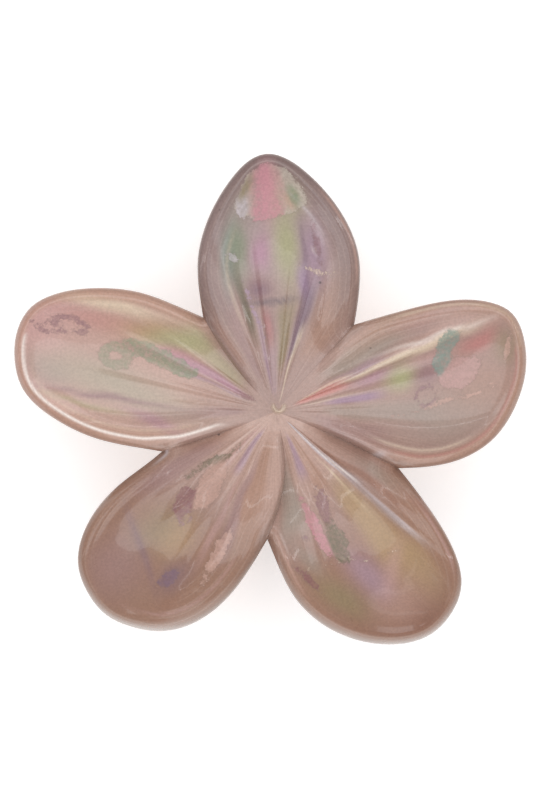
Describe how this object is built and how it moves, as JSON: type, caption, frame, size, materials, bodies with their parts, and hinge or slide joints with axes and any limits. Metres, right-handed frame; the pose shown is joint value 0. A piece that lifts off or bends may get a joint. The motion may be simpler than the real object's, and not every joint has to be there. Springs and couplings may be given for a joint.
{
  "type": "hair clip",
  "caption": "Flower-shaped spring hair claw: two facing five-petal jaws on a steel pin, the top petals squeezed as handles and curved teeth under the lower petals.",
  "frame": {"origin": "under the middle of the closed clip, on the surface that it lies on", "axes": "+Z out of the front flower, +Y towards the handle petals, +X across the flower to the viewer's right when the front flower is seen with its handle petal up"},
  "size_m": [0.0806, 0.0774, 0.0376],
  "materials": {
    "pearl_plastic": "translucent dusty pink with a pearl coating that shifts between green, violet and gold",
    "steel": "ground steel",
    "spring_steel": "drawn wire, bright"
  },
  "bodies": {
    "back_jaw": {"back_jaw": "pearl_plastic", "hinge_pin": "steel", "torsion_spring": "spring_steel"},
    "front_jaw": {"front_jaw": "pearl_plastic"}
  },
  "joints": [
    {"name": "jaw_hinge", "type": "hinge", "parent": "back_jaw", "child": "front_jaw", "pos_m": [0.00091, 0.00162, 0.01882], "axis": [-1, 0, 0], "range_deg": [0, 40], "stiffness_Nm_per_rad": 0.25, "springref_deg": -28.65, "deforming": ["torsion_spring"]}
  ]
}
